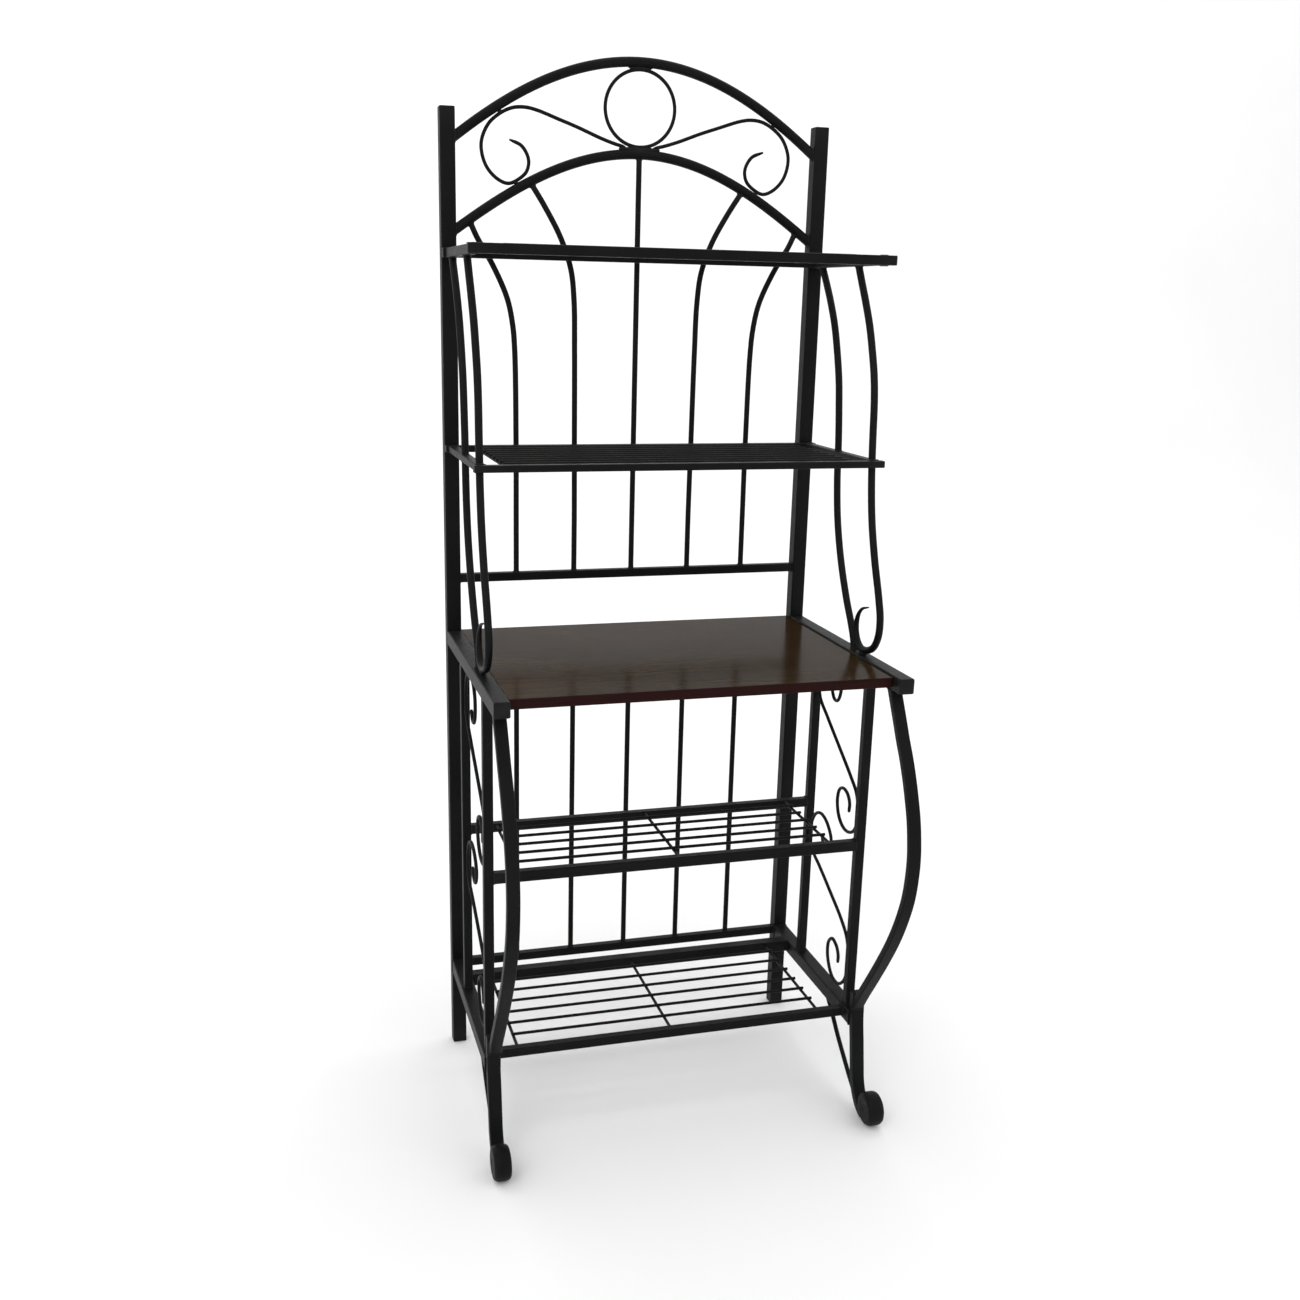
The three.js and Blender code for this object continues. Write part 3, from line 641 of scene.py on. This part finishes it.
for i, (pts, sgn) in enumerate(((OUTER, -1), (MIDDLE, -1), (None, 1), (MIDDLE, 1), (OUTER, 1))):
    if pts is None:
        c = straight((0, 0, zr0), (0, 0, lower_arch_z(0) - 13), 12)
    else:
        c = back_rod(pts)
    c[:, 0] *= sgn
    s = Shape()
    e0, e1 = s.tube(c, circle(ROD_D, 20), NY, trim=(to_plane(2, zr0), onto_arch(lower_arch_z, ARCH_D / 2 + 0.2, -1)))
    s.build(f"vis_upper_back_rod_{i + 1}", [COAT], replaces=(f"upper_back_rod_{i + 1}",))
    welds.bead(e0, 1.15, i)
    welds.bead(e1, 1.35, i + 9)
for i, x in enumerate((-209.5, -105.0, 0.0, 105.0, 209.5)):
    s = Shape()
    e0, e1 = s.tube(straight((x, 0, Z_LOWER_RAIL + RAIL / 2 + FIT), (x, 0, REAR_TOP - RAIL - FIT)), circle(ROD_D, 20), NY)
    s.build(f"vis_lower_back_rod_{i + 1}", [COAT], replaces=(f"lower_back_rod_{i + 1}",))
    welds.bead(e0, 1.15, i + 3)
    welds.bead(e1, 1.15, i + 5)

# ---------------------------------------------------------------------------
# Side frames
# ---------------------------------------------------------------------------
s = Shape()
e0, e1 = s.tube(straight((HALF, Y_RAIL_END + CAP + FIT, Z_COUNTER), (HALF, Y_BACK, Z_COUNTER)), rounded(POST, POST, 2.4), NX)
pair("counter_side_rail", s, [COAT])

SR_TOP = 172.5
SR_BOT = SR_TOP - POST
TOP_T, MID_T = 15.0, 11.0
for name, y, w in (("side_rear_upright", Y_REAR_UP, RAIL), ("side_front_upright", Y_FRONT_UP, BAR)):
    s = Shape()
    e0, e1 = s.tube(straight((HALF, y, SR_TOP + FIT), (HALF, y, RB - FIT)), rounded(w, w, 1.9), NX)
    pair(name, s, [COAT])
    side_welds.bead(e0, 1.15, y)
    side_welds.bead(e1, 1.15, y + 2)

s = Shape()
e0, e1 = s.tube(straight((HALF, -369.0, SR_TOP - h), (HALF, Y_BACK, SR_TOP - h)), rounded(POST, POST, 2.4), NX)
pair("bottom_side_rail", s, [COAT])
side_welds.bead(e0, 1.3, 2)
side_welds.bead(e1, 1.3, 3)

LEG_PTS = [(-374.1, 213), (-376.5, 160), (-383, 122), (-389, 86), (-396, 50), (-405.5, 31), (-419, 17), (-437, 10)]
s = Shape()
leg_path = in_yz(HALF, LEG_PTS, 3.0)
s.tube(leg_path, rounded(LEG_W, LEG, 2.4), NX, ends=(0.8, "flat"))
half = [(0.4, -13.6), (9.0, -13.8), (17.0, -14.2), (21.0, -14.35), (23.8, -13.8), (26.2, -12.4), (27.7, -10.4),
        (28.6, -7.4), (28.95, -3.6), (29.0, 0.0)]
prof = half + [(r, -d) for r, d in half[-2::-1]]
s.lathe((ROLL_X, -451.0, ROLL_R), NX, NY, prof, 56)
for sx in (-1, 1):
    spiral = []
    for k in range(90):
        t = k / 89
        ang = math.radians(150 - 620 * t)
        rad = 21.6 - 18.0 * t
        spiral.append((ROLL_X + sx * 13.6, -451.0 + rad * math.cos(ang), ROLL_R + rad * math.sin(ang)))
    s.tube(np.array(spiral), circle(1.5, 8), NX, ends=(0.5, 0.5))
pair("front_foot", s, [COAT])

BOW_PTS = [
    (-426, 790), (-441, 763.3), (-457.2, 735.1), (-473, 706.8), (-490.1, 679.2), (-504.9, 651),
    (-517.6, 622.2), (-528.6, 592.9), (-535.9, 562.1), (-540, 530), (-538.6, 495.3), (-532.4, 458.1),
    (-517.9, 416.6), (-496.1, 370.8), (-465.7, 319.7), (-428.7, 263.7), (-398.5, 219.5), (-381, 192)]
bow_path = in_yz(BOW_X, BOW_PTS, 4.0)
bow_path = np.array([q for q in bow_path if q[2] < RB - FIT - 6 and q[1] < -392])
s = Shape()
e0, e1 = s.tube(bow_path, rounded(BOW_W, BOW, 2.2), NX, trim=(to_plane(2, RB - FIT), to_plane(1, -383.4)))
pair("bow_leg", s, [COAT])
side_welds.bead(e0, 1.4, 1)
side_welds.bead(e1, 1.5, 2)

BRACE = [(-236, 156), (-262, 133), (-282.5, 113.6), (-309.5, 87.1), (-335.5, 64.8), (-361, 43.5), (-396, 17)]
brace_path = in_yz(HALF, BRACE, 4.0)
brace_path = np.array([q for q in brace_path if q[2] < SR_BOT - 3.0 and q[1] > -393])
s = Shape()
e0, e1 = s.tube(brace_path, circle(8, 16), NX, trim=(to_plane(2, SR_BOT - FIT), None))
pair("foot_brace", s, [COAT])
side_welds.bead(e0, 1.1, 7)
side_welds.lump((HALF, -391.5, 24.0), (5.0, 6.0, 5.0), 4)

UPPER_S = [
    (-190, 711), (-202, 697), (-216, 697), (-227, 713), (-227, 740), (-210, 762), (-180, 771), (-150, 760),
    (-134.5, 733), (-133.1, 706), (-143, 681), (-178, 656), (-230.6, 621), (-290, 581), (-316, 560),
    (-325.6, 536), (-325.6, 508), (-312, 488), (-287, 479), (-264, 484), (-247.5, 500), (-241.5, 524),
    (-248, 543), (-264, 550.5), (-282, 546), (-292, 533), (-291.5, 517)]
LOWER_S = [
    (-186, 430), (-194, 417.5), (-208, 411.5), (-221, 419), (-226, 438), (-216.5, 453), (-198, 466), (-175, 470.5),
    (-152, 461), (-135.8, 437), (-132.9, 410), (-146, 388), (-182, 370), (-237, 341), (-290, 311), (-316, 289),
    (-326, 262), (-325.4, 226), (-312.7, 201), (-291, 186.5), (-268, 187), (-252.5, 199), (-241, 221), (-242, 245),
    (-257.5, 259), (-277, 253), (-286, 240), (-286.5, 226)]
for name, pts in (("side_scroll_upper", UPPER_S), ("side_scroll_lower", LOWER_S)):
    path = in_yz(HALF, pts, 2.5)
    s = Shape()
    s.tube(path, circle(SCROLL_D, 16), NX, ends=(1.4, 1.4), scale=tapered(path, SCROLL_D, 4, 4, 0.8))
    pair(name, s, [COAT])
    rear = path[np.argmax(path[:, 1])]
    front = path[np.argmin(path[:, 1])]
    side_welds.lump((HALF, rear[1] + 2.6, rear[2]), (2.6, 1.8, 6.5), rear[2])
    side_welds.lump((HALF, front[1] - 2.6, front[2]), (2.6, 1.8, 6.5), front[2])

ROD_TOP = Z_TOP_SHELF - TOP_T / 2 - FIT
REAR_ROD = [
    (-35, 1442), (-60, 1411), (-87, 1374), (-110, 1335), (-127, 1292), (-141, 1245), (-148, 1200),
    (-154.5, 1143), (-159, 1075), (-171, 1008), (-194.5, 942.6), (-228, 879.5), (-251, 845), (-264.5, 820), (-271, 796)]
FRONT_ROD = [
    (-187, 1441), (-207, 1408), (-227.7, 1375), (-249, 1337), (-265, 1298), (-278, 1258), (-284.5, 1220),
    (-288.5, 1156), (-294, 1092), (-305, 1030), (-325, 968), (-350, 908), (-360, 875), (-357.5, 846),
    (-342, 824), (-316, 813.2), (-294.5, 812.8), (-279, 822.5), (-272, 840), (-275.5, 862), (-289, 877.5), (-314, 886)]
p_ = in_yz(HALF, REAR_ROD, 4.0)
p_ = np.array([q for q in p_ if RT + 4 < q[2] < ROD_TOP - 5])
s = Shape()
e0, e1 = s.tube(p_, circle(SIDE_ROD_D, 20), NX, trim=(to_plane(2, ROD_TOP), to_plane(2, RT + FIT)))
pair("side_rod_rear", s, [COAT])
side_welds.bead(e0, 1.3, 3)
side_welds.bead(e1, 1.4, 8)
p_ = in_yz(HALF, FRONT_ROD, 3.0)
p_ = np.array([q for q in p_ if q[2] < ROD_TOP - 5])
s = Shape()
run = np.r_[0, np.cumsum(np.linalg.norm(np.diff(p_, axis=0), axis=1))]
drawn = 1 - 0.8 * np.clip((run - run[-1] + 96.0) / 96.0, 0, 1) ** 1.2
e0, e1 = s.tube(p_, circle(SIDE_ROD_D, 20), NX, ends=("flat", 2.0), trim=(to_plane(2, ROD_TOP), None), scale=drawn)
pair("side_rod_front", s, [COAT])
side_welds.bead(e0, 1.3, 5)
side_welds.lump((HALF, -303, RT + 1.2), (5.0, 13.0, 2.4), 4)

# ---------------------------------------------------------------------------
# Shelves
# ---------------------------------------------------------------------------
def evenly(y0, y1, n):
    return [y0 + (y1 - y0) * (i + 1) / (n + 1) for i in range(n)]


def grid(s, w, z_top, y_front, y_rear, ys, xs):
    zw = z_top + 0.3
    zc = zw - 4.5
    for x in xs:
        s.tube(straight((x, y_front, zc), (x, y_rear, zc), 40), circle(CROSS_D, 12), NX)
        for y, d in ((y_front, 1), (y_rear, -1)):
            w.lump((x, y + d * 0.8, zc), (3.4, 1.5, 3.0), x + y)
    for k, y in enumerate(ys):
        s.tube(straight((xs[0] - 3.5, y, zw), (xs[2] + 3.5, y, zw), 60), circle(WIRE_D, 12), NY, ends=(0.7, 0.7))
        for x in xs:
            w.lump((x, y, zw - 1.9), (2.9, 3.1, 1.3), k + x, 8, 5)


def square_bar(s, a, b, w, t, normal, r=1.9, ends=(0.7, 0.7)):
    return s.tube(straight(a, b), rounded(w, t, r), normal, ends=ends)


def framed_shelf(name, z, t, y_front, x_front, x_side, x_grid, through=()):
    yr1, yr0 = Y_BACK, Y_BACK - BAR
    z0, z1 = z - t / 2, z + t / 2
    yf1 = y_front + BAR
    s, w = Shape(), Shape()
    hx = HALF + h - 0.7
    # first section axis is the path's normal: across the bar in plan
    square_bar(s, (-hx, (yr0 + yr1) / 2, z), (hx, (yr0 + yr1) / 2, z), BAR, t, NY)
    square_bar(s, (-x_front + 0.7, y_front + BAR / 2, z), (x_front - 0.7, y_front + BAR / 2, z), BAR, t, NY)
    for sx in (-1, 1):
        e0, e1 = s.tube(straight((sx * x_side, yf1 - 0.3, z), (sx * x_side, yr0 + 0.3, z)), rounded(BAR, t, 1.9), NX)
        w.bead(e0, 1.2, sx)
        w.bead(e1, 1.2, sx + 4)
    ys = [yr0 + (yf1 - yr0) * (i + 0.5) / 9 for i in range(9)]
    grid(s, w, z1 - 1.5, yf1 - 0.4, yr0 + 0.4, ys, (-x_grid, 0.0, x_grid))
    for sx in (-1, 1):
        for y in through:
            for zz in (z0 - 0.3, z1 + 0.3):
                w.lump((sx * x_side, y, zz), (7.4, 7.6, 1.7), y + zz, 10, 6)
    s.build(f"vis_{name}", [COAT], replaces=(name,))
    w.build(f"vis_{name}_welds", [WELD])


framed_shelf("top_shelf", Z_TOP_SHELF, TOP_T, -302.0, 338.0, HALF, 277.0)
framed_shelf("middle_shelf", Z_MID_SHELF, MID_T, -315.5, 334.0, HALF, 281.0, (-156.5, -291.3))

s, w = Shape(), Shape()
xr, xf = HALF - RAIL / 2 - FIT, HALF - BAR / 2 - FIT
for x_, y, tall in ((xr, Y_REAR_UP, BAR), (xf, Y_FRONT_UP, BAR + 2)):
    e0, e1 = s.tube(straight((-x_, y, Z_WIRE_SHELF), (x_, y, Z_WIRE_SHELF)), rounded(BAR, tall, 1.9), NY)
    w.bead(e0, 1.2, y)
    w.bead(e1, 1.2, y + 1)
grid(s, w, Z_WIRE_SHELF + BAR / 2, Y_FRONT_UP + BAR / 2 - 0.4, Y_REAR_UP - BAR / 2 + 0.4, evenly(Y_REAR_UP, Y_FRONT_UP, 5), (-270.0, 0.0, 270.0))
s.build("vis_wire_shelf", [COAT], replaces=("wire_shelf",))
w.build("vis_wire_shelf_welds", [WELD])

s, w = Shape(), Shape()
xb, zb = HALF - h - FIT, Z_BOTTOM + BAR / 2
e0, e1 = s.tube(straight((-xb, Y_BOTTOM_REAR, SR_TOP - 11), (xb, Y_BOTTOM_REAR, SR_TOP - 11)), rounded(22, 22, 2.3), NY)
w.bead(e0, 1.2, 1)
w.bead(e1, 1.2, 2)
e0, e1 = s.tube(straight((-xb, Y_FRONT_UP, zb - (BAR + 1) / 2), (xb, Y_FRONT_UP, zb - (BAR + 1) / 2)), rounded(BAR, BAR - 1, 1.9), NY)
w.bead(e0, 1.2, 3)
w.bead(e1, 1.2, 4)
grid(s, w, zb, Y_FRONT_UP + BAR / 2 - 0.4, Y_BOTTOM_REAR - 11 + 0.4, evenly(Y_BOTTOM_REAR, Y_FRONT_UP, 6), (-274.0, -7.0, 264.0))
s.build("vis_bottom_shelf", [COAT], replaces=("bottom_shelf",))
w.build("vis_bottom_shelf_welds", [WELD])

# ---------------------------------------------------------------------------
# Counter
# ---------------------------------------------------------------------------
s = Shape()
zf = BOARD_TOP - BOARD_T - FIT - BAR / 2
e0, e1 = s.tube(straight((-XI, Y_FRONT_UP, zf), (XI, Y_FRONT_UP, zf)), rounded(BAR, BAR, 1.9), NY)
s.build("vis_counter_front_rail", [COAT], replaces=("counter_front_rail",))
welds.bead(e0, 1.2, 11)
welds.bead(e1, 1.2, 12)

bx = XI - 0.4
y0, y1 = Y_BOARD_FRONT, RAIL / 2 - 1
cx, cy = 0.0, (y0 + y1) / 2


def plan(inset):
    r = rounded(2 * bx - 2 * inset, (y1 - y0) - 2 * inset, max(3.0 - inset, 0.6), 4)
    return np.column_stack([cx + r[:, 0], cy + r[:, 1]])


def board_ring(inset, z):
    r = plan(inset)
    return np.column_stack([r, np.full(len(r), z)])


zt, zb_ = BOARD_TOP, BOARD_TOP - BOARD_T
s = Shape()
er = 1.6
prof = [(er * (1 - math.sin(a)), er * (1 - math.cos(a))) for a in [math.pi / 2 * k / 4 for k in range(5)]]
bottom = [board_ring(i, zb_ + z) for i, z in [(er, 0.0), (er * 0.4, er * 0.12), (er * 0.12, er * 0.4), (0.0, er)]]
top = [board_ring(i, zt - z) for i, z in [(0.0, er), (er * 0.12, er * 0.4), (er * 0.4, er * 0.12)]]
s.rings(bottom + top, caps=False, mat=1)
n = len(bottom[0])
s.add(np.concatenate([board_ring(er, zb_), bottom[0]]), [tuple(range(n))[::-1]], 0)
s.rings([top[-1], board_ring(er, zt)], caps=False, mat=0)
s.add(board_ring(er, zt), [tuple(range(n))], 0)
board = s.build("vis_countertop_board", [FACE, EDGE], replaces=("countertop_board",), slot="dark_wood")

# ---------------------------------------------------------------------------
# Bolts behind the posts
# ---------------------------------------------------------------------------
for name, z in (("top_shelf_bolt", Z_TOP_SHELF), ("middle_shelf_bolt", Z_MID_SHELF), ("counter_bolt", Z_COUNTER)):
    s = Shape()
    prof = [(0.3, 0.3), (5.6, 0.3), (6.0, 0.45), (6.0, 0.8)]
    prof += [(6.0 * math.cos(a), 0.8 + 2.7 * math.sin(a)) for a in [math.pi / 2 * k / 8 for k in range(1, 8)]]
    prof += [(0.2, 3.5)]
    s.lathe((HALF, h, z), NY, NX, prof, 32)
    pair(name, s, [BOLT], "black_bolt")

welds.build("vis_back_welds", [WELD])
for side, mirrored in SIDES:
    side_welds.build(f"vis_side_welds_{side}", [WELD], mirror=mirrored)
    arch_welds.build(f"vis_arch_welds_{side}", [WELD], mirror=mirrored)

# ---------------------------------------------------------------------------
# Floor and backdrop
# ---------------------------------------------------------------------------
prof = [(-7.0, 0.0), (3.2, 0.0)]
for k in range(1, 13):
    a = math.pi / 2 * k / 12
    prof.append((3.2 + 1.6 * math.sin(a), 1.6 * (1 - math.cos(a))))
prof.append((4.8, 6.5))
verts, faces = [], []
for y, z in prof:
    verts += [(-8.0, y, z - 0.0004), (8.0, y, z - 0.0004)]
for i in range(len(prof) - 1):
    faces.append((2 * i, 2 * i + 1, 2 * i + 3, 2 * i + 2))
mesh = bpy.data.meshes.new("studio_sweep")
mesh.from_pydata(verts, [], faces)
mesh.polygons.foreach_set("use_smooth", [True] * len(mesh.polygons))
mesh.materials.append(PAPER)
floor = bpy.data.objects.new("studio_sweep", mesh)
bpy.context.scene.collection.objects.link(floor)

# ---------------------------------------------------------------------------
# Light
# ---------------------------------------------------------------------------
world = bpy.data.worlds.new("studio")
bpy.context.scene.world = world
world.use_nodes = True
bg = world.node_tree.nodes["Background"]
bg.inputs[0].default_value = (1.0, 1.0, 1.0, 1)
bg.inputs[1].default_value = 0.86


def area(name, loc, target, size, power, color=(1, 1, 1)):
    data = bpy.data.lights.new(name, "AREA")
    data.shape = "RECTANGLE"
    data.size, data.size_y = size
    data.energy = power
    data.color = color
    obj = bpy.data.objects.new(name, data)
    obj.location = loc
    obj.rotation_euler = (Vector(target) - Vector(loc)).to_track_quat("-Z", "Y").to_euler()
    bpy.context.scene.collection.objects.link(obj)
    return obj


area("key", (-2.4, -2.8, 3.0), (0, 0, 0.8), (1.8, 1.8), 30)
area("fill", (2.8, -2.0, 2.0), (0, 0, 0.8), (2.0, 2.0), 8)
area("overhead", (0, 0.4, 4.4), (0, 0.4, 0), (5.5, 5.5), 44)
area("backdrop_light", (1.3, 1.6, 4.6), (1.5, 4.8, 1.2), (8.0, 1.0), 50)

# ---------------------------------------------------------------------------
# Camera, solved from the picture
# ---------------------------------------------------------------------------
CAM = (-669.31, -2363.59, 1368.90)
YAW, PITCH, ROLL = math.radians(15.98424), math.radians(15.42835), math.radians(1.22674)
F, CX, CY = 1382.00, -17.587, 31.598
fwd = Vector((math.sin(YAW) * math.cos(PITCH), math.cos(YAW) * math.cos(PITCH), -math.sin(PITCH)))
right = Vector((math.cos(YAW), -math.sin(YAW), 0))
up = right.cross(fwd)
r2 = math.cos(ROLL) * right + math.sin(ROLL) * up
u2 = -math.sin(ROLL) * right + math.cos(ROLL) * up
cam_data = bpy.data.cameras.new("camera")
cam_data.sensor_fit = "HORIZONTAL"
cam_data.sensor_width = 36.0
cam_data.lens = F / 1300 * 36.0
cam_data.shift_x = -CX / 1300
cam_data.shift_y = CY / 1300
cam_data.clip_end = 60
cam = bpy.data.objects.new("camera", cam_data)
m3 = Matrix((r2, u2, -fwd)).transposed()
cam.matrix_world = Matrix.Translation(Vector((CAM[0] * MM, CAM[1] * MM + YC, CAM[2] * MM))) @ m3.to_4x4()
bpy.context.scene.collection.objects.link(cam)
bpy.context.scene.camera = cam
bpy.context.scene.view_settings.view_transform = "Standard"
